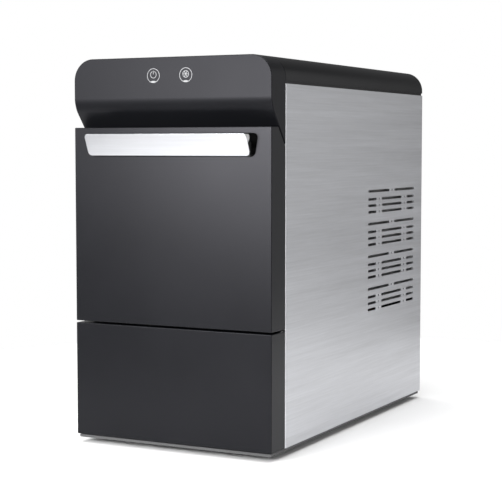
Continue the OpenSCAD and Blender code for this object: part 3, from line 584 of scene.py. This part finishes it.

# %% [markdown]
# Every new piece ends in the same way. It gets its finish, smooth shading that keeps flat faces flat, and
# the body it moves with, and the node it stands for is hidden.

# %% The last step of each new piece
def stands_for(piece, node, material, angle=30):
    """The last step of each new piece: its finish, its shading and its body."""
    coat(outward(piece), material)
    smooth(piece, angle)
    modify(piece, "WEIGHTED_NORMAL", keep_sharp=True)
    record = frame["record"]
    body = next(b for b, nodes in record["behaviour"]["bodies"].items() if node in nodes)
    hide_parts(node)
    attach(piece, body)
    print(f"{piece.name}: {len(piece.data.polygons)} faces, rides on {body}")
    return piece


print("ready to model")

# %% [markdown]
# ## The control head
# The head is one moulding: a rounded arch from the front, a nose from the side. A block gets its sloping
# underside from one slice. The two long top edges are rounded with the crown's radius, and the front
# bottom edge with the nose's. The back is opened and the shell is given its wall. Working in this order
# keeps every face flat or truly round, which a sculpted shape wouldn't.

# %% Control head
CROWN_RADIUS = 0.024
NOSE_DROP = 0.0527
NOSE_FALL = 1.225
NOSE_RADIUS = 0.025
FRONT_DEPTH = 0.034
SHELL_WALL = 0.003
EDGE = 0.0009
SEAM_EDGE = 0.0006
NOSE_BELOW = 0.06
CROWN_STEPS = 14
NOSE_STEPS = 12
SLACK = 0.0005
ON_FACE = 0.0003
ON_SEAM = 0.00003
STEP_UP = 0.0001

head_low, head_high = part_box("control_head")
front_y, crown_z, face_half = head_low.y, head_high.z, head_high.x
nose_z = crown_z - NOSE_DROP
slope_normal = Vector((0, -NOSE_FALL, -1)).normalized()
nose_turn = math.atan(1 / NOSE_FALL)
back_y = front_y + FRONT_DEPTH

head = block("control_head_shell", (-face_half, front_y, nose_z - NOSE_BELOW), (face_half, back_y, crown_z))
slice_off(head, (0, front_y, nose_z), slope_normal)
round_edges(
    head, CROWN_RADIUS,
    lambda at, way: abs(way.y) > 0.99 and close(at.z, crown_z) and close(abs(at.x), face_half),
    segments=CROWN_STEPS,
)
round_edges(
    head, NOSE_RADIUS * math.tan(nose_turn / 2),
    lambda at, way: abs(way.x) > 0.99 and close(at.y, front_y) and close(at.z, nose_z),
    segments=NOSE_STEPS,
)
open_side(head, lambda at, normal: normal.y > 0.9)


def outside_arch(at):
    """True on the arch's outer surface, which the head and the cover share."""
    corner = Vector((face_half - CROWN_RADIUS, 0, crown_z - CROWN_RADIUS))
    past = Vector((abs(at.x) - corner.x, 0, at.z - corner.z))
    if past.x > 0 and past.z > 0:
        return past.length > CROWN_RADIUS - SLACK
    return abs(at.x) > face_half - SLACK or at.z > crown_z - SLACK


def on_head_outline(at, way):
    """Edges between the front or the underside and the sides or the top."""
    if close(at.y, back_y):
        return False
    on_front = close(at.y, front_y, ON_FACE) and at.z > nose_z
    on_side = close(abs(at.x), face_half, 0.00005)
    on_rim = on_side and at.z < nose_z + NOSE_RADIUS and abs(way.x) < 0.5
    return (on_front and (at.z > crown_z - CROWN_RADIUS - STEP_UP or abs(way.z) > 0.9)) or on_rim


round_edges(head, EDGE, on_head_outline, segments=3)
thicken(head, SHELL_WALL)
round_edges(
    head, SEAM_EDGE,
    lambda at, way: close(at.y, back_y, ON_SEAM) and abs(way.y) < 0.2 and outside_arch(at),
    segments=2, sharp=True,
)
stands_for(head, "control_head", head_black)

# %% [markdown]
# ## The top cover
# The cover carries the same arch to the rear, where it ends flat. Below its outer rim a narrower skirt
# drops behind the steel, so a thin dark line is left between cover and panel. The skirt comes from
# insetting the bottom face and pushing it down, and the hollow from insetting again and pushing up.

# %% Top cover
cover_low, cover_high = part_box("top_cover")
steel_low, steel_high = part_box("right_side_panel")
COVER_HEIGHT = 0.027
SHEET = 0.0012
ROOF = 0.014
rim_z = crown_z - COVER_HEIGHT

cover = block("top_cover_shell", (-face_half, back_y, rim_z), (face_half, cover_high.y, crown_z))
with Editing(cover) as hand:
    hand.pick(lambda at, normal: normal.z < -0.9)
    bpy.ops.mesh.inset(thickness=SHEET)
    bpy.ops.mesh.extrude_region_move(TRANSFORM_OT_translate={"value": (0, 0, cover_low.z - rim_z)})
    bpy.ops.mesh.inset(thickness=SHELL_WALL)
    hollow = (0, 0, crown_z - cover_low.z - ROOF)
    bpy.ops.mesh.extrude_region_move(TRANSFORM_OT_translate={"value": hollow})
round_edges(
    cover, CROWN_RADIUS,
    lambda at, way: abs(way.y) > 0.99 and close(at.z, crown_z) and close(abs(at.x), face_half),
    segments=CROWN_STEPS,
)
for end_y, radius, steps in ((cover_high.y, EDGE, 3), (back_y, SEAM_EDGE, 2)):
    round_edges(
        cover, radius,
        lambda at, way: close(at.y, end_y, ON_FACE) and at.z > rim_z + STEP_UP and abs(way.y) < 0.5,
        segments=steps,
    )
stands_for(cover, "top_cover", cover_black)

# %% [markdown]
# ## The two drawer fronts
# Both fronts are deep mouldings with crisp edges. The ice door's upper rear edge is cut back to follow the
# nose with an even gap. Its finger opening is a trapezoid with round corners, taken out of the wall with a
# cutter. The outer edges get their small radius before the shell gets its wall, so that the radius is only
# on the outside.

# %% Ice door and tank front
NOSE_GAP = 0.002
door_low, door_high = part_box("ice_door_shell")
tank_low, tank_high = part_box("tank_front")
shoulder_z = nose_z - NOSE_GAP / math.cos(math.atan(NOSE_FALL))

CUP_WALL = 0.002
CUP_TAPER = 0.004
CUP_CORNER = 0.005
SIDE_MARGIN = 0.004
CUTTER_PROUD = 0.002


def hollow_front(name, low, high, shoulder):
    """A drawer front: a block with small outer radii, open at the back."""
    front = block(name, low, high)
    if shoulder:
        slice_off(front, (0, front_y, shoulder_z), slope_normal * -1)
    open_side(front, lambda at, normal: normal.y > 0.99)
    round_edges(front, EDGE, lambda at, way: at.y < high.y - NEAR, segments=3)
    return thicken(front, SHELL_WALL)


def recess_block(name, low_y, high_y, grow):
    """A block with the finger opening's outline, grown on all sides, its four long corners round."""
    top_half = cup_high.x - CUP_WALL + grow
    low_z, high_z = cup_low.z + CUP_WALL - grow, cup_high.z - CUP_WALL + grow
    piece = block(name, (-top_half, low_y, low_z), (top_half, high_y, high_z))
    with Editing(piece) as hand:
        hand.pick(lambda at, normal: normal.z < -0.9)
        bpy.ops.transform.resize(value=((top_half - CUP_TAPER) / top_half, 1, 1))
    return round_edges(piece, CUP_CORNER + grow, lambda at, way: abs(way.y) > 0.99, segments=6)


cup_low, cup_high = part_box("handle_cup")
door = hollow_front("ice_door_front", door_low, door_high, shoulder=True)
cut(door, recess_block("opening_cutter", front_y - CUTTER_PROUD, front_y + 2 * SHELL_WALL, 0))


def around_opening(at, way):
    inside = abs(at.x) < face_half - SIDE_MARGIN and cup_low.z < at.z < cup_high.z
    return close(at.y, front_y) and inside


round_edges(door, SEAM_EDGE, around_opening, segments=2, sharp=True)
stands_for(door, "ice_door_shell", door_black)

tank_door = hollow_front("tank_drawer_front", tank_low, tank_high, shoulder=False)
stands_for(tank_door, "tank_front", door_black)

# %% [markdown]
# ## The finger recess and the grip
# Behind the opening sits a deep cup, cut off by the same slope as the door. In front of it a bright steel
# plate leans out at the top, so that fingers reach in from above. Each end of the plate is folded back
# into a small ear, and below the ear a dark bracket closes the side. The plate is made upright, where its
# corners are easy to round, and then turned to its lean.

# %% Recess cup
CUP_DROP = 0.0065
CUP_EDGE = 0.0015
CUP_EASE = 0.0002

cup = recess_block("handle_recess", front_y + SHELL_WALL, cup_high.y, CUP_WALL)
slice_off(cup, (0, front_y, shoulder_z - CUP_DROP), slope_normal * -1)
open_side(cup, lambda at, normal: normal.y < -0.99)
round_edges(
    cup, CUP_EDGE, lambda at, way: at.y > front_y + 2 * SHELL_WALL and abs(way.y) < 0.9,
    segments=3, sharp=True,
)
thicken(cup, CUP_WALL - CUP_EASE)
stands_for(cup, "handle_cup", recess_plastic)

# %% [markdown]
# The ears are made as upright leaves behind the leaning plate. Two slices give each one its outline, its
# upper rear corner is rounded, and it is joined to the plate as one skin.

# %% Grip plate with its ears
PLATE = 0.0016
HANDLE_FOOT = 0.006
EAR_HEIGHT = 0.0125
EAR_NOSE = 0.0055
EAR_INSET = 0.0012
EAR_TURN = 0.0022
EAR_ROUND = 0.0035
EAR_REACH = 0.0055
EAR_BEND = 0.0045
EAR_LIP = 0.0003
GRIP_CORNER = 0.0042
GRIP_EDGE = 0.00045
plate_low, plate_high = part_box("handle_plate")
proud_y = plate_low.y
rise = plate_high.z - plate_low.z
run = (front_y - HANDLE_FOOT) - proud_y
lean = math.atan(run / rise)
plate_normal = Vector((0, -math.cos(lean), -math.sin(lean)))
grip_half = plate_high.x

grip = block("grip_plate", (-grip_half, 0, 0), (grip_half, PLATE * math.cos(lean), math.hypot(rise, run)))
round_edges(grip, GRIP_CORNER, lambda at, way: abs(way.y) > 0.99, segments=6)
round_edges(grip, GRIP_EDGE, lambda at, way: abs(way.y) < 0.9, segments=2)
grip.rotation_euler = (lean, 0, 0)
grip.location = (0, front_y - HANDLE_FOOT, plate_low.z)
settle(grip)


def ear(side):
    """The fold at one end: a thin upright leaf behind the plate, turned in a little towards its rear."""
    inner, outer = sorted((side * (grip_half - EAR_INSET), side * (grip_half - EAR_INSET - PLATE)))
    low_z = plate_high.z - EAR_HEIGHT
    leaf = block("ear", (inner, proud_y, low_z), (outer, plate_high.y, plate_high.z - EAR_LIP))
    slice_off(leaf, (0, proud_y + PLATE * 0.7, plate_high.z), plate_normal)
    rear_foot = Vector((0, plate_high.y, plate_high.z - EAR_NOSE))
    edge = (rear_foot - Vector((0, front_y - HANDLE_FOOT - EAR_REACH, low_z))).normalized()
    slice_off(leaf, rear_foot, Vector((0, edge.z, -edge.y)))
    rear_y, above_z = plate_high.y - 0.001, rear_foot.z + 0.001
    round_edges(
        leaf, EAR_ROUND, lambda at, way: abs(way.x) > 0.9 and at.y > rear_y and at.z > above_z, segments=6
    )
    with Editing(leaf, "EDGE") as hand:
        hand.pick(lambda at, way: at.y > plate_high.y - EAR_BEND)
        bpy.ops.transform.translate(value=(-side * EAR_TURN, 0, 0))
    return leaf


for side in (1, -1):
    weld(grip, ear(side))
stands_for(grip, "handle_plate", grip_steel, angle=25)

# The sides of the ears get a near-white, unbrushed, non-metal finish: a painted highlight that stands in for
# the bright reflection of the folded steel.
grip.data.materials.append(ear_painted_highlight)
plate_back_y = proud_y + 2 * PLATE
ear_foot_z = plate_high.z - EAR_HEIGHT
for face in grip.data.polygons:
    on_ear = face.center.y > plate_back_y and face.center.z > ear_foot_z
    if abs(face.normal.x) > 0.85 and on_ear:
        face.material_index = 1

# %% [markdown]
# The bracket is a narrow floor under the plate with a web at each end. A web is sliced parallel to the
# plate in front, and sloped off at its upper rear corner.

# %% Bracket behind the grip
bracket_low, bracket_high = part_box("handle_bracket")
BRACKET_WALL = 0.003
FLOOR_WALL = 0.002
WEB_INSET = 0.0035
WEB_DEPTH = 0.004
WEB_GAP = 0.0004
FLOOR_GAP = 0.0006


def web(side):
    """The side of the bracket: a leaf whose front follows the plate's lean."""
    inner, outer = sorted((side * (grip_half - WEB_INSET - BRACKET_WALL), side * (grip_half - WEB_INSET)))
    leaf = block(
        "web", (inner, proud_y, bracket_low.z), (outer, front_y + WEB_DEPTH, bracket_high.z + WEB_DEPTH)
    )
    slice_off(leaf, (0, front_y - HANDLE_FOOT + PLATE + WEB_GAP, plate_low.z), plate_normal)
    rear_top = Vector((0, front_y + 0.0005, bracket_high.z + WEB_INSET))
    slice_off(leaf, rear_top, Vector((0, 0.55, 0.83)))
    return leaf


bracket = block(
    "grip_bracket",
    (-grip_half + 0.001, front_y - HANDLE_FOOT + PLATE + FLOOR_GAP, bracket_low.z + 0.0002),
    (grip_half - 0.001, bracket_high.y - 0.001, bracket_low.z + FLOOR_WALL),
)
for side in (1, -1):
    weld(bracket, web(side))
stands_for(bracket, "handle_bracket", dark_plastic)

# %% [markdown]
# ## The steel side panels
# Each panel is one sheet with its front and rear edges folded inwards. The folded profile is a block with
# its inner, top and bottom sides taken off; the folds get their bend radius, then the sheet gets its
# thickness. The air slots repeat in groups, so one cutter of each length is copied to every place, and
# all of them are taken out in one go. The left panel is a mirrored copy.

# %% Side panels
FOLD = 0.008
FRONT_FOLD_EXTRA = 0.002
FOLD_RADIUS = 0.0016
GROUPS = 4
GROUP_STEP = 0.040
VENT_TOP = 0.2725
VENT_REAR = 0.108
SLOT_HEIGHT = 0.0031
VENT_HALF = 0.078
LONG_GAP = 0.0085
SHORT_GAP = 0.052
MIDDLE = 0.034
ROW_DROPS = (0.0099, 0.0177, 0.0255)
SLOT_EDGE = 0.00025

panel = block("right_panel", (steel_high.x - FOLD, steel_low.y, steel_low.z), steel_high)
open_side(panel, lambda at, normal: normal.x < -0.9 or abs(normal.z) > 0.9)
with Editing(panel, "EDGE") as hand:
    hand.pick(lambda at, way: close(at.y, steel_low.y) and close(at.x, steel_high.x - FOLD))
    bpy.ops.mesh.extrude_region_move(TRANSFORM_OT_translate={"value": (-FRONT_FOLD_EXTRA, 0, 0)})
round_edges(panel, FOLD_RADIUS, lambda at, way: abs(way.z) > 0.9 and close(at.x, steel_high.x), segments=5)
thicken(panel, SHEET)

vent_y, vent_z = steel_high.y - VENT_REAR, steel_low.z + VENT_TOP


def slot_cutter(length, name):
    """A bar with round ends, lying at the origin along Y."""
    bar = block(
        name, (-2 * SHEET, -length / 2, -SLOT_HEIGHT / 2), (2 * SHEET, length / 2, SLOT_HEIGHT / 2)
    )
    return round_edges(bar, SLOT_HEIGHT / 2 - 0.00002, lambda at, way: abs(way.x) > 0.99, segments=5)


lengths = {
    "long": VENT_HALF - LONG_GAP, "short": VENT_HALF - SHORT_GAP, "middle": 2 * MIDDLE, "dot": SLOT_HEIGHT,
}
masters = {name: slot_cutter(length, name + "_slot") for name, length in lengths.items()}
cutters = []
for group in range(GROUPS):
    top = vent_z - group * GROUP_STEP
    places = [("long", side * (VENT_HALF + LONG_GAP) / 2, top) for side in (-1, 1)]
    places.append(("dot", 0, top))
    for drop in ROW_DROPS:
        places.append(("middle", 0, top - drop))
        for side in (-1, 1):
            places.append(("short", side * (VENT_HALF + SHORT_GAP) / 2, top - drop))
            places.append(("dot", side * (MIDDLE + SHORT_GAP) / 2, top - drop))
    for kind, along, height in places:
        cutters.append(copy_of(masters[kind], "slot", (steel_high.x, vent_y + along, height)))
cut(panel, join(cutters, "slots"))
for master in masters.values():
    bpy.data.objects.remove(master)
round_edges(
    panel, SLOT_EDGE,
    lambda at, way: close(at.x, steel_high.x, ON_SEAM) and abs(at.y - vent_y) < VENT_HALF + 0.001,
    segments=1, sharp=True,
)
left_panel = copy_of(panel, "left_panel", mirror_x=True)
stands_for(panel, "right_side_panel", side_steel)
stands_for(left_panel, "left_side_panel", side_steel)

# %% [markdown]
# ## The ice bin
# The bin is a deep moulded tub. A block loses its top, its upright corners and its bottom rim are
# rounded, the skin is given its wall, and the top rim gets a small radius. A rod then cuts its drain
# hole.

# %% Ice bin
TUB_WALL = 0.0025
TUB_CORNER = 0.005
TUB_FOOT = 0.002
TUB_RIM = 0.0008
DRAIN_SETBACK = 0.022
DRAIN_RADIUS = 0.006

bin_low, bin_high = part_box("ice_bin")
bin_tub = block("ice_bin_tub", bin_low, bin_high)
open_side(bin_tub, lambda at, normal: normal.z > 0.99)
round_edges(bin_tub, TUB_CORNER, lambda at, way: abs(way.z) > 0.99, segments=6)
round_edges(bin_tub, TUB_FOOT, lambda at, way: close(at.z, bin_low.z) and abs(way.z) < 0.5, segments=3)
thicken(bin_tub, TUB_WALL)
round_edges(
    bin_tub, TUB_RIM, lambda at, way: close(at.z, bin_high.z) and abs(way.z) < 0.5, segments=2, sharp=True
)
drain_at = (0, bin_high.y - DRAIN_SETBACK, bin_low.z)
cut(bin_tub, rod("drain_cutter", drain_at, DRAIN_RADIUS, 4 * TUB_WALL, "Z", 40))
stands_for(bin_tub, "ice_bin", bin_clear)

# %% [markdown]
# ## Screws and feet
# Small parts repeat, so each is modelled once and copied. A screw is a plain shank under a short round
# head, which has a rounded rim and a cross cut into it.

# %% Rear screws
SCREW_RADIUS = 0.0034
HEAD_HEIGHT = 0.002
HEAD_ROUND = 0.0009
SHANK_RADIUS = 0.0016
CROSS_LONG = 0.0036
CROSS_THIN = 0.0007
CROSS_DEPTH = 0.0009
CROSS_PROUD = 0.001

screws_low, screws_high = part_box("rear_panel_screws")


def screw():
    """One pan head screw at the origin, its head towards the rear."""
    top = rod("screw", (0, screws_high.y - HEAD_HEIGHT / 2, 0), SCREW_RADIUS, HEAD_HEIGHT, "Y", 32)
    round_edges(
        top, HEAD_ROUND, lambda at, way: close(at.y, screws_high.y) and abs(way.y) < 0.5,
        segments=3, sharp=True,
    )
    for width, height in ((CROSS_LONG, CROSS_THIN), (CROSS_THIN, CROSS_LONG)):
        low = (-width / 2, screws_high.y - CROSS_DEPTH, -height / 2)
        high = (width / 2, screws_high.y + CROSS_PROUD, height / 2)
        cut(top, block("bit", low, high))
    length = screws_high.y - HEAD_HEIGHT - screws_low.y
    shank = rod("shank", (0, screws_low.y + length / 2, 0), SHANK_RADIUS, length, "Y", 16)
    return join([top, shank], "screw")


one_screw = screw()
screw_x = screws_high.x - SCREW_RADIUS
screw_zs = (screws_low.z + SCREW_RADIUS, (screws_low.z + screws_high.z) / 2, screws_high.z - SCREW_RADIUS)
screw_set = [copy_of(one_screw, "screw", (side * screw_x, 0, z)) for side in (-1, 1) for z in screw_zs]
bpy.data.objects.remove(one_screw)
stands_for(join(screw_set, "rear_screw_set"), "rear_panel_screws", zinc)

# %% [markdown]
# A foot is a rubber button that narrows to the floor, with a shallow dish pressed into its underside.

# %% Rubber feet
FOOT_RADIUS = 0.0125
FOOT_TAPER = 0.0015
FOOT_ROUND = 0.0008
DISH_RIM = 0.003
DISH_DEPTH = 0.0012

feet_low, feet_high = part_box("rubber_feet")
foot_height = feet_high.z - feet_low.z


def foot():
    """One foot at the origin: narrower at the floor, with a dish in its underside."""
    button = rod("foot", (0, 0, foot_height / 2), FOOT_RADIUS, foot_height, "Z", 48)
    with Editing(button) as hand:
        hand.pick(lambda at, normal: normal.z < -0.9)
        shrink = (FOOT_RADIUS - FOOT_TAPER) / FOOT_RADIUS
        bpy.ops.transform.resize(value=(shrink, shrink, 1))
        bpy.ops.mesh.inset(thickness=DISH_RIM)
        bpy.ops.transform.translate(value=(0, 0, DISH_DEPTH))
    round_edges(
        button, FOOT_ROUND, lambda at, way: close(at.z, 0) and at.xy.length > 0.009, segments=3, sharp=True
    )
    return button


one_foot = foot()
foot_xs = (feet_low.x + FOOT_RADIUS, feet_high.x - FOOT_RADIUS)
foot_ys = (feet_low.y + FOOT_RADIUS, feet_high.y - FOOT_RADIUS)
feet = [copy_of(one_foot, "foot", (x, y, 0)) for x in foot_xs for y in foot_ys]
bpy.data.objects.remove(one_foot)
stands_for(join(feet, "foot_set"), "rubber_feet", black_rubber)

# %% [markdown]
# ## Floor, light and camera
# A machine with black faces is mostly seen by what it reflects. The floor is a pale disc, kept small so
# that it lights the faces little.

# %% Floor
FLOOR_RADIUS = 0.75
FLOOR_CENTRE = (0.05, 0.05, 0)


def pale_floor():
    deselect()
    bpy.ops.mesh.primitive_circle_add(
        vertices=96, radius=FLOOR_RADIUS, fill_type="NGON", location=FLOOR_CENTRE
    )
    floor = settle(named("floor"))
    finish = Finish("pale_floor", Specular_IOR_Level=0.1)
    patches = finish.noise(3, detail=3)
    finish.drive(Base_Color=finish.blend(patches, grey(0.86), grey(0.9)), Roughness=patches * 0.1 + 0.7)
    coat(floor, finish.material)


pale_floor()
print("floor radius:", FLOOR_RADIUS)

# %% [markdown]
# The lights are soft panels that stand where each face mirrors them: two in front for the doors and the
# head, one at the right for the grip's ear, one behind each side for the steel, and one overhead. The
# backdrop is plain white for the camera and dim as a light, so that the black faces stay black.

# %% Lights
def soft_panel(name, place, target, size, glow):
    """A soft panel at a place, facing its target. Glow is how bright it looks; the camera doesn't see it."""
    data = bpy.data.lights.new(name, "AREA")
    data.shape, data.size, data.size_y = "RECTANGLE", size[0], size[1]
    data.energy = glow * math.pi * size[0] * size[1]
    light = bpy.data.objects.new(name, data)
    bpy.context.scene.collection.objects.link(light)
    light.location = place
    light.rotation_euler = (Vector(target) - Vector(place)).to_track_quat("-Z", "Y").to_euler()
    light.visible_camera = False
    return light


soft_panel("overhead", (0.0, -0.1, 2.2), (0, 0, 0), (2.4, 2.4), 4.6)
soft_panel("door_panel", (-0.27, -1.25, 0.43), (0.05, -0.2, 0.34), (0.6, 0.40), 24)
soft_panel("head_panel", (-0.85, -1.2, 0.68), (0, -0.2, 0.42), (0.5, 0.36), 7.5)
soft_panel("steel_right", (1.85, 1.7, 0.55), (0.12, 0, 0.2), (2.0, 1.8), 0.74)
soft_panel("steel_left", (-1.85, 1.7, 0.55), (-0.12, 0, 0.2), (2.0, 1.8), 0.74)
soft_panel("ear_panel", (1.6, -0.95, 0.45), (0.1, -0.2, 0.3), (0.5, 1.1), 5)


def backdrop(seen, glow):
    """White where the camera looks past the machine, dim as a source of light."""
    world = bpy.data.worlds.new("studio")
    bpy.context.scene.world = world
    world.use_nodes = True
    nodes, links = world.node_tree.nodes, world.node_tree.links
    background = nodes["Background"]
    background.inputs["Color"].default_value = (1, 1, 1, 1)
    path = nodes.new("ShaderNodeLightPath")
    level = nodes.new("ShaderNodeMix")
    level.inputs[2].default_value, level.inputs[3].default_value = glow, seen
    links.new(path.outputs["Is Camera Ray"], level.inputs[0])
    links.new(level.outputs[0], background.inputs["Strength"])


backdrop(1.0, 0.16)
bpy.context.scene.view_settings.view_transform = "Standard"

# %% [markdown]
# The camera stands to the right of the machine and looks slightly down, through a long lens.

# %% Camera
CAMERA_AT = (0.783, -1.556, 0.337)
LOOK_DOWN = 4.21
LOOK_LEFT = 27.07
LENS = 101.8

camera_data = bpy.data.cameras.new("camera")
camera = bpy.data.objects.new("camera", camera_data)
bpy.context.scene.collection.objects.link(camera)
camera.location = CAMERA_AT
camera.rotation_euler = (math.radians(90 - LOOK_DOWN), 0, math.radians(LOOK_LEFT))
camera_data.lens = LENS
bpy.context.scene.camera = camera
print("lens:", LENS)
